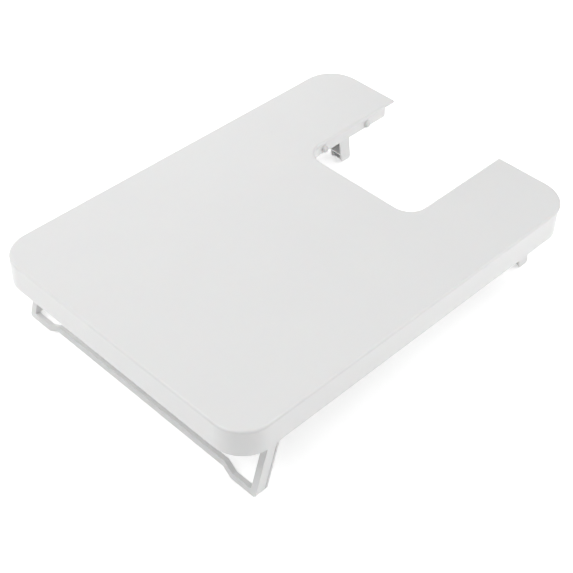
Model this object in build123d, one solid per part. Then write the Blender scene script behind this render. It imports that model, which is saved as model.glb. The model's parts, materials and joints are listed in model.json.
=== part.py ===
from build123d import *

import os
from math import cos, radians, sin, tan

# Extension table for a free-arm sewing machine.
# Frame: origin on the ground under the middle of the top, +X along the length towards the notch,
# +Y to the back, +Z up.  Sizes in millimetres.  The legs stand in their open position.

# ---------------------------------------------------------------- top moulding
TOP_LENGTH = 387.0
TOP_WIDTH = 282.0
TABLE_HEIGHT = 80.0
PLATE_THICKNESS = 2.5
WALL_THICKNESS = 2.5
SKIRT_DEPTH = 25.2            # outer skirt, measured down from the top face
LEFT_CORNER_RADIUS = 28.0
RIGHT_CORNER_RADIUS = 31.0
EDGE_RADIUS = 2.2             # rounding of the top edge all the way round
NOTCH_WIDTH = 119.2
NOTCH_DEPTH = 116.7
NOTCH_CORNER_RADIUS = 17.0
NOTCH_WALL_DEPTH = 10.8       # the wall round the notch is much lower than the skirt
TIP_RADIUS = 2.4              # plan radius of the two arm tips
LIP_OVERHANG = 11.5           # how far the top runs past the end walls of the arms
LIP_THICKNESS = 1.4
END_WALL_CORNER_RADIUS = 19.0
MOUTH_RADIUS = 4.0            # where an end wall turns into the notch wall
END_WALL_STEP = 20.0          # the end wall steps up this far from the notch
STEP_RADIUS = 6.0
RIM_RADIUS = 0.6              # rounding of the skirt's and the notch wall's lower edges

# ribs under the plate
RIB_THICKNESS = 1.6
RIB_DEPTH = 6.0
RIB_PITCH_X = 47.0
RIB_PITCH_Y = 46.0
RIB_BAY_MARGIN = 1.5          # ribs stop this far from the hinges' own pieces

# ---------------------------------------------------------------- wide leg
WIDE_LEAN = 15.7              # degrees, foot outwards
WIDE_FOOT_INSET = 19.6        # front face of the foot at the ground, from the left end of the top
WIDE_ARM_INSET = 6.5          # outer face of each arm, from the side of the top
WIDE_PIVOT_HEIGHT = 62.5
WIDE_HUB_RADIUS = 6.6
WIDE_HUB_WIDTH = 8.0
ARM_WIDTH = 5.8
BAR_DEPTH = 5.0               # thickness of arms and bar, front to back
BAR_HEIGHT = 5.2
WEB_THICKNESS = 2.0
WEB_DEPTH = 12.0              # the outer web of each arm is deeper than the bar
FOOT_LENGTH = 25.3
FOOT_STEP = 5.2               # the middle of the bar is raised by this much
FOOT_RAMP = 10.2
BAR_BEND_RADIUS = 3.0
ARM_CORNER_RADIUS = 1.2
GROOVE_WIDTH = 0.9
GROOVE_DEPTH = 0.4
GROOVE_FROM_REAR = 2.2
FOOT_BEVEL = 1.8
WEB_HEEL_RADIUS = 3.0

# ---------------------------------------------------------------- small legs
SMALL_LEAN = 8.0
SMALL_PIVOT_INSET = 27.0      # pivot, from the right end of the top
SMALL_PIVOT_HEIGHT = 62.0
SMALL_LEG_INSET = 27.5        # outer face, from the side of the top
SMALL_LEG_DEPTH = 12.0        # front to back, which is also the hub's diameter
SMALL_LEG_WIDTH = 14.0
SMALL_LEG_WALL = 1.5
SMALL_RIB_THICKNESS = 1.2
SMALL_RIB_PITCH = 17.0
SMALL_FLOOR_THICKNESS = 2.2
SMALL_FLOOR_SETBACK = 2.5
SMALL_FOOT_RADIUS = 2.6

# ---------------------------------------------------------------- hinges
PIN_RADIUS = 2.0
PIN_CLEARANCE = 0.05
PIN_HEAD_RADIUS = 3.4
PIN_HEAD_THICKNESS = 1.2
PIN_END_GAP = 0.3
BLIND_BORE_DEPTH = 2.5
SIDE_GAP = 0.5                # hub to lug, each side
LUG_THICKNESS = 3.0
LUG_RADIUS = 5.4
KEEPER_THICKNESS = 1.2
KEEPER_RADIUS = 4.0
KEEPER_SCREW_OFFSET_X = 10.0
KEEPER_SCREW_OFFSET_Z = 6.5
STOP_GAP = 0.3
STOP_HEIGHT = 7.5
STOP_LENGTH = 9.0
STOP_MARGIN = 0.7             # stops end this far above the skirt's lower edge

# leaf-spring catches, one over each hub
DETENT_FLAT_DEPTH = 0.25
CATCH_GAP = 0.15
CATCH_THICKNESS = 0.6
CATCH_WIDTH = 4.8
CATCH_REACH = 21.0            # from the pivot to the fixed end
CATCH_FLAT_LENGTH = 9.0
CATCH_PAD_HALF = 2.2
CATCH_TAIL = 3.2
CATCH_BOSS_SIZE = 8.0
CATCH_BOSS_DEPTH = 5.4
CATCH_EDGE_GAP = 0.6

# self-tapping screws
SCREW_RADIUS = 1.15
SCREW_LENGTH = 5.0
SCREW_HEAD_RADIUS = 2.4
SCREW_HEAD_THICKNESS = 1.5
SCREW_SLOT_WIDTH = 0.6
SCREW_SLOT_LENGTH = 3.0
SCREW_SLOT_DEPTH = 0.5
SCREW_HOLE_CLEARANCE = 0.05
SCREW_PASS_CLEARANCE = 0.25
SCREW_PILOT_EXTRA = 0.4

# ---------------------------------------------------------------- rubber parts
PAD_PROUD = 0.3
PAD_RECESS = 1.0
PAD_CLEARANCE = 0.05
WIDE_PAD_DEPTH = 3.0
WIDE_PAD_LENGTH = 17.0
SMALL_PAD_DEPTH = 6.4
SMALL_PAD_WIDTH = 9.4
BUMPER_RADIUS = 3.5
BUMPER_PROUD = 3.0
BUMPER_DOME_RADIUS = 1.6
BUMPER_STEM_RADIUS = 2.0
BUMPER_BARB_RADIUS = 2.7
BUMPER_BARB_LENGTH = 1.6
BUMPER_DROP = 7.0             # centre, below the top face
BUMPER_PLACES = {"inner": 22.5, "outer": 77.5}    # from the notch floor towards the mouth

# ---------------------------------------------------------------- places that follow from the sizes
LEFT_X = -TOP_LENGTH / 2
RIGHT_X = TOP_LENGTH / 2
FRONT_Y = -TOP_WIDTH / 2
NOTCH_FLOOR_X = RIGHT_X - NOTCH_DEPTH
END_WALL_X = RIGHT_X - LIP_OVERHANG
SKIRT_BOTTOM_Z = TABLE_HEIGHT - SKIRT_DEPTH
PLATE_BOTTOM_Z = TABLE_HEIGHT - PLATE_THICKNESS
LIP_BOTTOM_Z = TABLE_HEIGHT - LIP_THICKNESS
NOTCH_WALL_BOTTOM_Z = TABLE_HEIGHT - NOTCH_WALL_DEPTH
CUT_MARGIN = 5.0              # how far cutting solids run past what they cut

SMALL_HUB_RADIUS = SMALL_LEG_DEPTH / 2
WIDE_PIVOT_X = (
    LEFT_X + WIDE_FOOT_INSET
    + WIDE_HUB_RADIUS / cos(radians(WIDE_LEAN))
    + WIDE_PIVOT_HEIGHT * tan(radians(WIDE_LEAN))
)
SMALL_PIVOT_X = RIGHT_X - SMALL_PIVOT_INSET
SCREW_HOLE_RADIUS = SCREW_RADIUS + SCREW_HOLE_CLEARANCE
SCREW_PASS_RADIUS = SCREW_RADIUS + SCREW_PASS_CLEARANCE


class Hinge:
    """One hinge on the front half of the table; the back half is its mirror image."""

    def __init__(self, name, x, z, hub_radius, hub_start, hub_width, lean, fold):
        self.name = name
        self.x = x
        self.z = z
        self.hub_radius = hub_radius
        self.hub_start = hub_start                  # y of the hub face nearest the skirt
        self.hub_end = hub_start + hub_width
        self.lean = lean                            # turn about +Y that leans the foot outwards
        self.fold = fold                            # +1 folds towards +X, -1 towards -X
        self.outer_lug_end = hub_start - SIDE_GAP
        self.inner_lug_start = self.hub_end + SIDE_GAP
        self.inner_lug_end = self.inner_lug_start + LUG_THICKNESS
        self.keeper_start = self.inner_lug_end + PIN_HEAD_THICKNESS
        self.keeper_end = self.keeper_start + KEEPER_THICKNESS
        self.screw_x = x + fold * KEEPER_SCREW_OFFSET_X
        self.screw_z = z + KEEPER_SCREW_OFFSET_Z
        self.catch_y = self.hub_end - CATCH_EDGE_GAP - CATCH_WIDTH / 2
        self.catch_boss_x = x + fold * (CATCH_REACH - CATCH_FLAT_LENGTH / 2)
        self.catch_boss_z = PLATE_BOTTOM_Z - CATCH_BOSS_DEPTH

    def place(self, shape):
        """Put a leg that was drawn upright, with its pivot at the origin, into its open position."""
        return Pos(self.x, self.hub_start, self.z) * Rot(0, self.lean, 0) * shape


WIDE_HINGE = Hinge(
    "wide_leg", WIDE_PIVOT_X, WIDE_PIVOT_HEIGHT, WIDE_HUB_RADIUS,
    FRONT_Y + WIDE_ARM_INSET, WIDE_HUB_WIDTH, WIDE_LEAN, 1,
)
SMALL_HINGE = Hinge(
    "small_leg", SMALL_PIVOT_X, SMALL_PIVOT_HEIGHT, SMALL_HUB_RADIUS,
    FRONT_Y + SMALL_LEG_INSET, SMALL_LEG_WIDTH, -SMALL_LEAN, -1,
)
HINGES = [WIDE_HINGE, SMALL_HINGE]


# ---------------------------------------------------------------- helpers
def box_between(x0, x1, y0, y1, z0, z1):
    low = (min(x0, x1), min(y0, y1), min(z0, z1))
    return Pos(*low) * Box(
        abs(x1 - x0), abs(y1 - y0), abs(z1 - z0), align=(Align.MIN, Align.MIN, Align.MIN)
    )


def rod(x, y0, y1, z, radius):
    """A cylinder along Y from y0 to y1."""
    return Pos(x, (y0 + y1) / 2, z) * Rot(90, 0, 0) * Cylinder(radius, abs(y1 - y0))


def extrude_side(points, y0, y1, radii=None):
    """A profile drawn in X and Z, extruded along Y."""
    if radii:
        outline = FilletPolyline(*points, radius=radii, close=True)
    else:
        outline = Polyline(*points, close=True)
    profile = Plane.XZ * make_face(outline)
    return Pos(0, max(y0, y1), 0) * extrude(profile, abs(y1 - y0))


def extrude_front(points, x0, x1, radii):
    """A profile drawn in Y and Z, extruded along X."""
    profile = Plane.YZ * make_face(FilletPolyline(*points, radius=radii, close=True))
    return Pos(x0, 0, 0) * extrude(profile, x1 - x0)


def to_back(shape):
    """The mirror image, for the back half of the table."""
    return mirror(shape, about=Plane.XZ)


# ---------------------------------------------------------------- top
def plan(right_x, right_radius, tip_radius, inset=0.0):
    """The U-shaped plan of the top, drawn inset by a wall where one is wanted."""
    left = LEFT_X + inset
    right = right_x - inset
    side = TOP_WIDTH / 2 - inset
    notch_side = NOTCH_WIDTH / 2 + inset
    notch_floor = NOTCH_FLOOR_X - inset
    corners = [
        ((left, -side), LEFT_CORNER_RADIUS - inset),
        ((right, -side), right_radius - inset),
        ((right, -notch_side), tip_radius - inset),
        ((notch_floor, -notch_side), NOTCH_CORNER_RADIUS + inset),
        ((notch_floor, notch_side), NOTCH_CORNER_RADIUS + inset),
        ((right, notch_side), tip_radius - inset),
        ((right, side), right_radius - inset),
        ((left, side), LEFT_CORNER_RADIUS - inset),
    ]
    points = [point for point, _ in corners]
    radii = [max(radius, 0.0) for _, radius in corners]
    return make_face(FilletPolyline(*points, radius=radii, close=True))


def slab(face, z0, z1):
    return Pos(0, 0, z0) * extrude(face, z1 - z0)


def walls_plan(inset=0.0):
    return plan(END_WALL_X, END_WALL_CORNER_RADIUS, MOUTH_RADIUS, inset)


def shell():
    """Plate, skirt, notch wall and the thin lip that overhangs the end walls."""
    block = slab(plan(RIGHT_X, RIGHT_CORNER_RADIUS, TIP_RADIUS), SKIRT_BOTTOM_Z, TABLE_HEIGHT)
    block = fillet(block.faces().sort_by(Axis.Z)[-1].edges(), EDGE_RADIUS)
    under_lip = box_between(
        END_WALL_X - END_WALL_CORNER_RADIUS, RIGHT_X + CUT_MARGIN,
        FRONT_Y - CUT_MARGIN, -FRONT_Y + CUT_MARGIN,
        SKIRT_BOTTOM_Z - CUT_MARGIN, LIP_BOTTOM_Z,
    )
    block -= under_lip - slab(walls_plan(), SKIRT_BOTTOM_Z - CUT_MARGIN, TABLE_HEIGHT)
    block -= slab(walls_plan(WALL_THICKNESS), SKIRT_BOTTOM_Z - CUT_MARGIN, PLATE_BOTTOM_Z)
    step_side = NOTCH_WIDTH / 2 + END_WALL_STEP
    low = SKIRT_BOTTOM_Z - CUT_MARGIN
    step = extrude_front(
        [(-step_side, low), (step_side, low),
         (step_side, NOTCH_WALL_BOTTOM_Z), (-step_side, NOTCH_WALL_BOTTOM_Z)],
        NOTCH_FLOOR_X - WALL_THICKNESS - CUT_MARGIN, END_WALL_X + CUT_MARGIN,
        [0, 0, STEP_RADIUS, STEP_RADIUS],
    )
    block -= step
    rim = block.edges().group_by(Axis.Z)[0]
    return fillet(rim, RIM_RADIUS)


def centred_places(pitch, reach):
    """Places a pitch apart, symmetrical about zero, inside plus or minus reach."""
    count = int(reach // pitch)
    return [index * pitch for index in range(-count, count + 1)]


def ribs():
    """The grid of stiffening ribs under the plate."""
    bottom = PLATE_BOTTOM_Z - RIB_DEPTH
    grid = []
    for x in centred_places(RIB_PITCH_X, TOP_LENGTH / 2 - LEFT_CORNER_RADIUS / 2):
        grid.append(Pos(x, 0, bottom + RIB_DEPTH / 2) * Box(RIB_THICKNESS, TOP_WIDTH, RIB_DEPTH))
    for y in centred_places(RIB_PITCH_Y, TOP_WIDTH / 2 - LEFT_CORNER_RADIUS / 2):
        grid.append(Pos(0, y, bottom + RIB_DEPTH / 2) * Box(TOP_LENGTH, RIB_THICKNESS, RIB_DEPTH))
    inside = slab(walls_plan(WALL_THICKNESS / 2), bottom, PLATE_BOTTOM_Z)
    joined = grid[0]
    for rib in grid[1:]:
        joined += rib
    joined &= inside
    for hinge in HINGES:
        clear = hinge_bay(hinge)
        joined = joined - clear - to_back(clear)
    return joined


def hinge_bay(hinge):
    """The space round a hinge and its catch that the ribs leave free."""
    return box_between(
        hinge.x - hinge.fold * (LUG_RADIUS + RIB_BAY_MARGIN),
        hinge.x + hinge.fold * (CATCH_REACH + RIB_BAY_MARGIN),
        hinge.outer_lug_end - BLIND_BORE_DEPTH - WALL_THICKNESS,
        hinge.keeper_end + SCREW_HEAD_THICKNESS + RIB_BAY_MARGIN,
        PLATE_BOTTOM_Z - RIB_DEPTH - CUT_MARGIN, PLATE_BOTTOM_Z,
    )


def lug(hinge, y0, y1):
    """A tab that hangs from the plate and is rounded about the pivot."""
    tab = rod(hinge.x, y0, y1, hinge.z, LUG_RADIUS)
    return tab + box_between(
        hinge.x - LUG_RADIUS, hinge.x + LUG_RADIUS, y0, y1, hinge.z, PLATE_BOTTOM_Z
    )


def keeper_boss(hinge):
    """The inner lug reaches sideways to carry the keeper's screw."""
    x_end = hinge.screw_x + hinge.fold * KEEPER_RADIUS
    arm = box_between(
        hinge.x, x_end, hinge.inner_lug_start, hinge.inner_lug_end,
        hinge.screw_z - KEEPER_RADIUS, PLATE_BOTTOM_Z,
    )
    boss = rod(hinge.screw_x, hinge.inner_lug_start, hinge.keeper_start, hinge.screw_z, KEEPER_RADIUS)
    cheek_top = box_between(
        hinge.screw_x - KEEPER_RADIUS, hinge.screw_x + KEEPER_RADIUS,
        hinge.inner_lug_start, hinge.keeper_start, hinge.screw_z, PLATE_BOTTOM_Z,
    )
    return arm + boss + cheek_top


def leg_stop(hinge):
    """The block that an open leg leans on, just below the pivot, on the side away from the fold."""
    lean = radians(abs(hinge.lean))
    top = min(SKIRT_BOTTOM_Z + STOP_MARGIN + STOP_HEIGHT, hinge.z)
    bottom = SKIRT_BOTTOM_Z + STOP_MARGIN

    def face_x(z):
        reach = (hinge.hub_radius + STOP_GAP) / cos(lean) + (hinge.z - z) * tan(lean)
        return hinge.x - hinge.fold * reach

    if hinge is WIDE_HINGE:
        wall_x = face_x(top) - hinge.fold * STOP_LENGTH
        y0 = FRONT_Y + WALL_THICKNESS / 2
        y1 = hinge.hub_start + ARM_WIDTH
    else:
        wall_x = END_WALL_X - WALL_THICKNESS / 2
        y0 = hinge.hub_start + SMALL_LEG_WALL
        y1 = hinge.hub_end - SMALL_LEG_WALL
    points = [(wall_x, bottom), (face_x(bottom), bottom), (face_x(top), top), (wall_x, top)]
    return extrude_side(points, y0, y1)


def hinge_mounting(hinge):
    """Lugs, bosses and stop of one hinge, solid."""
    if hinge is WIDE_HINGE:
        outer_start = FRONT_Y + WALL_THICKNESS / 2
    else:
        outer_start = hinge.outer_lug_end - BLIND_BORE_DEPTH - WALL_THICKNESS
    boss = Pos(
        hinge.catch_boss_x, hinge.catch_y, hinge.catch_boss_z + CATCH_BOSS_DEPTH / 2
    ) * Box(CATCH_BOSS_SIZE, CATCH_BOSS_SIZE, CATCH_BOSS_DEPTH)
    return (
        lug(hinge, outer_start, hinge.outer_lug_end)
        + lug(hinge, hinge.inner_lug_start, hinge.inner_lug_end)
        + keeper_boss(hinge)
        + leg_stop(hinge)
        + boss
    )


def hinge_bores(hinge):
    """Everything that is cut from the mounting: pin bores and screw pilots."""
    bore = PIN_RADIUS + PIN_CLEARANCE
    pilot = SCREW_LENGTH + SCREW_PILOT_EXTRA
    pin_bore = rod(
        hinge.x, hinge.outer_lug_end - BLIND_BORE_DEPTH, hinge.keeper_start, hinge.z, bore
    )
    keeper_pilot = rod(
        hinge.screw_x, hinge.keeper_end - pilot, hinge.keeper_end, hinge.screw_z, SCREW_HOLE_RADIUS
    )
    catch_bottom = hinge.catch_boss_z - CATCH_THICKNESS
    catch_pilot = Pos(hinge.catch_boss_x, hinge.catch_y, catch_bottom + pilot / 2) * Cylinder(
        SCREW_HOLE_RADIUS, pilot
    )
    return pin_bore + keeper_pilot + catch_pilot


def bumper_places():
    """Name, x and side of each buffer on the notch wall."""
    return [
        (name, NOTCH_FLOOR_X + distance) for name, distance in BUMPER_PLACES.items()
    ]


def table_top():
    top = shell() + ribs()
    for hinge in HINGES:
        mounting = hinge_mounting(hinge)
        bores = hinge_bores(hinge)
        top = top + mounting + to_back(mounting)
        top = top - bores - to_back(bores)
    hole_radius = BUMPER_STEM_RADIUS + PIN_CLEARANCE
    wall_y = NOTCH_WIDTH / 2
    for _, x in bumper_places():
        hole = rod(
            x, -wall_y - WALL_THICKNESS - 1, -wall_y + 1, TABLE_HEIGHT - BUMPER_DROP, hole_radius
        )
        top = top - hole - to_back(hole)
    return top


# ---------------------------------------------------------------- legs
def detent_flats(hinge, y0, y1):
    """Cuts that leave two flats on an upright hub: one faces up when open, one when folded."""
    turn = hinge.lean
    folded = 90.0 * hinge.fold
    cutter = None
    for angle in (-turn, folded):
        height = hinge.hub_radius
        block = Pos(0, (y0 + y1) / 2, hinge.hub_radius - DETENT_FLAT_DEPTH + height / 2) * Box(
            2 * hinge.hub_radius, y1 - y0, height
        )
        turned = Rot(0, angle, 0) * block
        cutter = turned if cutter is None else cutter + turned
    return cutter


def below_ground(x_middle):
    """Everything lower than the plastic feet, which stand on their rubber pads."""
    return Pos(x_middle, 0, PAD_PROUD - 50) * Box(TOP_LENGTH, 2 * TOP_WIDTH, 100)


def wide_pad_place():
    """Middle of a wide-leg pad on the ground, front half."""
    foot_front = LEFT_X + WIDE_FOOT_INSET
    x = foot_front + BAR_DEPTH / cos(radians(WIDE_LEAN)) / 2
    y = WIDE_HINGE.hub_start + FOOT_BEVEL + (FOOT_LENGTH - FOOT_BEVEL) / 2
    return x, y


def wide_leg():
    """A bail: two arms, a bar that is raised in the middle, and a foot at each end."""
    hinge = WIDE_HINGE
    front = -WIDE_HUB_RADIUS
    half = -hinge.hub_start
    lean = radians(WIDE_LEAN)
    drop = (WIDE_PIVOT_HEIGHT + WIDE_HUB_RADIUS * sin(lean)) / cos(lean)
    spare = BAR_DEPTH * tan(lean)
    foot_in = half - FOOT_LENGTH
    ramp_in = foot_in - FOOT_RAMP
    arm_in = half - ARM_WIDTH
    low = -drop
    raised = low + FOOT_STEP
    outer = [
        (-half, low), (-foot_in, low), (-ramp_in, raised), (ramp_in, raised), (foot_in, low), (half, low)
    ]
    inner = [
        (arm_in, low + BAR_HEIGHT), (foot_in, low + BAR_HEIGHT), (ramp_in, raised + BAR_HEIGHT),
        (-ramp_in, raised + BAR_HEIGHT), (-foot_in, low + BAR_HEIGHT), (-arm_in, low + BAR_HEIGHT)
    ]
    bend = BAR_BEND_RADIUS
    corner = ARM_CORNER_RADIUS
    points = outer + [(half, 0), (arm_in, 0)] + inner + [(-arm_in, 0), (-half, 0)]
    radii = [0, bend, bend, bend, bend, 0, 0, 0, corner, bend, bend, bend, bend, corner, 0, 0]
    frame = extrude_front(points, front, front + BAR_DEPTH, radii)
    for y0 in (-half, foot_in):
        frame += box_between(front, front + BAR_DEPTH, y0, y0 + FOOT_LENGTH, low - spare, low)

    rear = front + WEB_DEPTH
    web = box_between(front, rear, -half, -half + WEB_THICKNESS, low - 2 * spare, 0)
    groove = box_between(
        rear - GROOVE_FROM_REAR - GROOVE_WIDTH, rear - GROOVE_FROM_REAR,
        -half - GROOVE_DEPTH, -half + GROOVE_DEPTH, low + BAR_HEIGHT, -WIDE_HUB_RADIUS,
    )
    hub = rod(0, -half, -half + WIDE_HUB_WIDTH, 0, WIDE_HUB_RADIUS)
    bore = rod(0, -half - 1, -half + WIDE_HUB_WIDTH + 1, 0, PIN_RADIUS + PIN_CLEARANCE)
    flats = detent_flats(hinge, -half + WEB_THICKNESS, -half + WIDE_HUB_WIDTH + 1)
    leg = frame
    for part in (web, hub):
        leg = leg + part + to_back(part)
    for cut in (groove, bore, flats):
        leg = leg - cut - to_back(cut)

    leg = Pos(hinge.x, 0, hinge.z) * Rot(0, hinge.lean, 0) * leg
    leg -= below_ground(hinge.x)
    heels = leg.edges().filter_by(Axis.Y).group_by(Axis.Z)[0].group_by(Axis.X)[-1]
    leg = fillet(heels, WEB_HEEL_RADIUS)
    bevel = extrude_front(
        [(-half - FOOT_BEVEL, PAD_PROUD - FOOT_BEVEL), (-half + FOOT_BEVEL, PAD_PROUD - FOOT_BEVEL),
         (-half + FOOT_BEVEL, PAD_PROUD), (-half, PAD_PROUD + FOOT_BEVEL),
         (-half - FOOT_BEVEL, PAD_PROUD + FOOT_BEVEL)],
        LEFT_X, hinge.x + WEB_DEPTH, [0, 0, 0, 0, 0],
    )
    leg = leg - bevel - to_back(bevel)
    pad_x, pad_y = wide_pad_place()
    recess = Pos(pad_x, pad_y, PAD_PROUD + PAD_RECESS / 2) * Box(
        WIDE_PAD_DEPTH + 2 * PAD_CLEARANCE, WIDE_PAD_LENGTH + 2 * PAD_CLEARANCE, PAD_RECESS
    )
    return leg - recess - to_back(recess)


def small_foot_middle_x():
    """Where the small leg's axis meets the ground."""
    return SMALL_PIVOT_X + SMALL_PIVOT_HEIGHT * tan(radians(SMALL_LEAN))


def small_leg():
    """A hollow leg, open on the side that folds up against the plate, with cross ribs inside."""
    hinge = SMALL_HINGE
    radius = SMALL_HUB_RADIUS
    length = SMALL_PIVOT_HEIGHT / cos(radians(SMALL_LEAN))
    width = SMALL_LEG_WIDTH
    leg = box_between(-radius, radius, 0, width, -length - radius, 0)
    leg += rod(0, 0, width, 0, radius)
    leg -= rod(0, -1, width + 1, 0, PIN_RADIUS + PIN_CLEARANCE)
    leg -= detent_flats(hinge, -1, width + 1)
    leg = hinge.place(leg) - below_ground(hinge.x)
    foot_edges = leg.edges().filter_by(Axis.Y).group_by(Axis.Z)[0]
    leg = fillet(foot_edges, SMALL_FOOT_RADIUS)

    floor = -length + SMALL_FLOOR_THICKNESS
    ceiling = -radius - SMALL_LEG_WALL
    cells = None
    bottom = floor
    while bottom < ceiling - SMALL_RIB_THICKNESS:
        first = SMALL_RIB_PITCH / 2 if bottom == floor else SMALL_RIB_PITCH
        top = min(bottom + first - SMALL_RIB_THICKNESS, ceiling)
        cell = box_between(
            -radius - 1, radius - SMALL_LEG_WALL, SMALL_LEG_WALL, width - SMALL_LEG_WALL, bottom, top
        )
        cells = cell if cells is None else cells + cell
        bottom = top + SMALL_RIB_THICKNESS
    setback = box_between(
        -radius - 1, -radius + SMALL_FLOOR_SETBACK, SMALL_LEG_WALL, width - SMALL_LEG_WALL,
        -length - radius, floor,
    )
    leg -= hinge.place(cells + setback)
    recess = Pos(*small_pad_place(), PAD_PROUD + PAD_RECESS / 2) * Box(
        SMALL_PAD_DEPTH + 2 * PAD_CLEARANCE, SMALL_PAD_WIDTH + 2 * PAD_CLEARANCE, PAD_RECESS
    )
    return leg - recess


def small_pad_place():
    """Middle of a small-leg pad on the ground, front half."""
    x = small_foot_middle_x() + SMALL_FLOOR_SETBACK / 2 - SMALL_LEG_WALL / 2
    y = SMALL_HINGE.hub_start + SMALL_LEG_WIDTH / 2
    return x, y


# ---------------------------------------------------------------- small parts
def hinge_pin(hinge):
    start = hinge.outer_lug_end - BLIND_BORE_DEPTH + PIN_END_GAP
    shank = rod(hinge.x, start, hinge.inner_lug_end, hinge.z, PIN_RADIUS)
    head = rod(hinge.x, hinge.inner_lug_end, hinge.keeper_start, hinge.z, PIN_HEAD_RADIUS)
    return shank + head


def pin_keeper(hinge):
    """A tab screwed over the pin's head."""
    y0 = hinge.keeper_start
    y1 = hinge.keeper_end
    over_pin = rod(hinge.x, y0, y1, hinge.z, KEEPER_RADIUS)
    over_boss = rod(hinge.screw_x, y0, y1, hinge.screw_z, KEEPER_RADIUS)
    across_x = hinge.screw_x - hinge.x
    across_z = hinge.screw_z - hinge.z
    span = (across_x ** 2 + across_z ** 2) ** 0.5
    side_x = -across_z / span * KEEPER_RADIUS
    side_z = across_x / span * KEEPER_RADIUS
    bridge = extrude_side(
        [(hinge.x + side_x, hinge.z + side_z), (hinge.screw_x + side_x, hinge.screw_z + side_z),
         (hinge.screw_x - side_x, hinge.screw_z - side_z), (hinge.x - side_x, hinge.z - side_z)],
        y0, y1,
    )
    hole = rod(hinge.screw_x, y0 - 1, y1 + 1, hinge.screw_z, SCREW_PASS_RADIUS)
    return over_pin + over_boss + bridge - hole


def catch_spring(hinge):
    """A leaf spring screwed under the plate; its free end lies over the hub's flats."""
    fixed = hinge.catch_boss_z
    over_hub = hinge.z + hinge.hub_radius + CATCH_GAP + CATCH_THICKNESS
    line = [
        (CATCH_REACH, fixed), (CATCH_REACH - CATCH_FLAT_LENGTH, fixed),
        (CATCH_PAD_HALF, over_hub), (-CATCH_PAD_HALF, over_hub),
        (-CATCH_PAD_HALF - CATCH_TAIL, over_hub + CATCH_TAIL / 2),
    ]
    upper = [(hinge.x + hinge.fold * x, z) for x, z in line]
    lower = [(x, z - CATCH_THICKNESS) for x, z in reversed(upper)]
    strip = extrude_side(upper + lower, hinge.catch_y - CATCH_WIDTH / 2, hinge.catch_y + CATCH_WIDTH / 2)
    hole = Pos(hinge.catch_boss_x, hinge.catch_y, fixed) * Cylinder(
        SCREW_PASS_RADIUS, 4 * CATCH_THICKNESS
    )
    return strip - hole


def screw():
    """A self-tapping screw: head on +Z above the origin, shank below it."""
    body = Pos(0, 0, SCREW_HEAD_THICKNESS / 2) * Cylinder(SCREW_HEAD_RADIUS, SCREW_HEAD_THICKNESS)
    body = fillet(body.faces().sort_by(Axis.Z)[-1].edges(), SCREW_HEAD_THICKNESS / 2)
    body += Pos(0, 0, -SCREW_LENGTH / 2) * Cylinder(SCREW_RADIUS, SCREW_LENGTH)
    middle = Pos(0, 0, SCREW_HEAD_THICKNESS)
    body -= middle * Box(SCREW_SLOT_LENGTH, SCREW_SLOT_WIDTH, 2 * SCREW_SLOT_DEPTH)
    return body - middle * Box(SCREW_SLOT_WIDTH, SCREW_SLOT_LENGTH, 2 * SCREW_SLOT_DEPTH)


def hinge_screws():
    """All eight screws: one in each keeper and one in each catch."""
    pieces = []
    for hinge in HINGES:
        keeper_screw = Pos(hinge.screw_x, hinge.keeper_end, hinge.screw_z) * Rot(-90, 0, 0) * screw()
        catch_screw = Pos(
            hinge.catch_boss_x, hinge.catch_y, hinge.catch_boss_z - CATCH_THICKNESS
        ) * Rot(180, 0, 0) * screw()
        for piece in (keeper_screw, catch_screw):
            pieces += [piece, to_back(piece)]
    return Compound(children=pieces)


def wide_pad():
    x, y = wide_pad_place()
    height = PAD_PROUD + PAD_RECESS
    return Pos(x, y, height / 2) * Box(WIDE_PAD_DEPTH, WIDE_PAD_LENGTH, height)


def small_pad():
    x, y = small_pad_place()
    height = PAD_PROUD + PAD_RECESS
    return Pos(x, y, height / 2) * Box(SMALL_PAD_DEPTH, SMALL_PAD_WIDTH, height)


def notch_bumper(x):
    """A domed buffer pressed through the front arm's notch wall."""
    z = TABLE_HEIGHT - BUMPER_DROP
    wall_y = -NOTCH_WIDTH / 2
    behind = wall_y - WALL_THICKNESS
    head = rod(x, wall_y, wall_y + BUMPER_PROUD, z, BUMPER_RADIUS)
    head = fillet(head.faces().sort_by(Axis.Y)[-1].edges(), BUMPER_DOME_RADIUS)
    stem = rod(x, behind, wall_y, z, BUMPER_STEM_RADIUS)
    barb = rod(x, behind - BUMPER_BARB_LENGTH, behind, z, BUMPER_BARB_RADIUS)
    return head + stem + barb


# ---------------------------------------------------------------- all nodes
def all_nodes():
    nodes = {"table_top": table_top(), "wide_leg": wide_leg()}
    small = small_leg()
    nodes["small_leg_front"] = small
    nodes["small_leg_back"] = to_back(small)
    for hinge in HINGES:
        pieces = {"pin": hinge_pin(hinge), "keeper": pin_keeper(hinge), "catch": catch_spring(hinge)}
        pieces["pad"] = wide_pad() if hinge is WIDE_HINGE else small_pad()
        for name, piece in pieces.items():
            nodes[f"{hinge.name}_{name}_front"] = piece
            nodes[f"{hinge.name}_{name}_back"] = to_back(piece)
    nodes["hinge_screws"] = hinge_screws()
    for place, x in bumper_places():
        bumper = notch_bumper(x)
        nodes[f"notch_bumper_{place}_front"] = bumper
        nodes[f"notch_bumper_{place}_back"] = to_back(bumper)
    return nodes


os.makedirs("parts", exist_ok=True)
for node, shape in all_nodes().items():
    export_step(shape, f"parts/{node}.step")
    print(node, "volume", round(shape.volume, 1), "mm3")
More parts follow.
